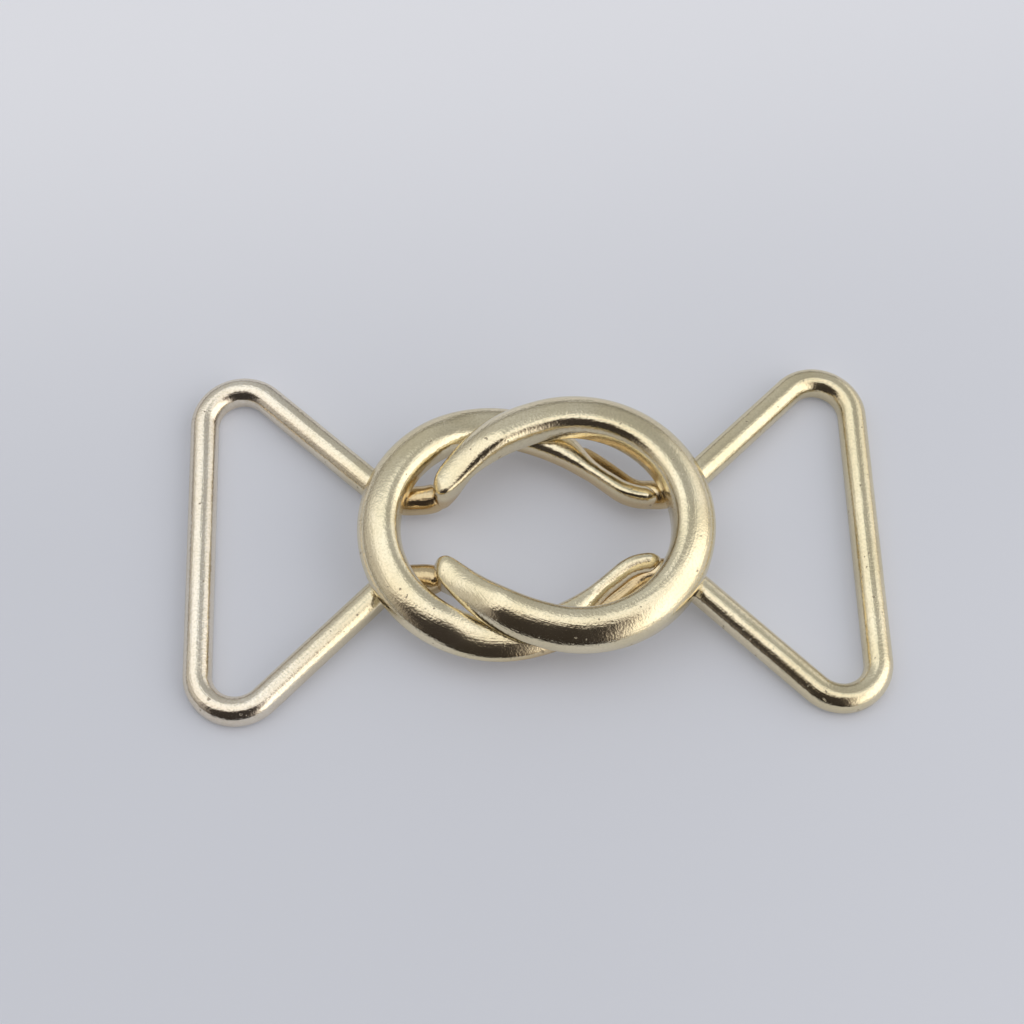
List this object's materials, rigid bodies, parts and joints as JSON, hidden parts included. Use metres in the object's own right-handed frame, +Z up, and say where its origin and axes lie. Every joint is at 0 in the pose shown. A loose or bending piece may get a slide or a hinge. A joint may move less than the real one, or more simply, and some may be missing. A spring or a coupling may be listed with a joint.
{
  "type": "interlocking strap clasp",
  "caption": "Two-part interlocking clasp: cast halves with triangular strap loops whose domed rings pass over and under each other like a knot.",
  "frame": {"origin": "middle of the clasp, on the surface it lies on face up", "axes": "+X along the strap towards the right half, +Y across the strap, +Z up out of the domed face"},
  "size_m": [0.0742, 0.04, 0.0084],
  "materials": {
    "plated_casting": "pale gold plating, polished, slightly orange-peeled"
  },
  "bodies": {
    "left": {"left_half": "plated_casting"},
    "right": {"right_half": "plated_casting"}
  },
  "joints": [
    {"name": "fold", "type": "hinge", "parent": "left", "child": "right", "pos_m": [-0.0076, 0, 0.0062], "axis": [0, 1, 0], "range_deg": [0, 75]}
  ]
}
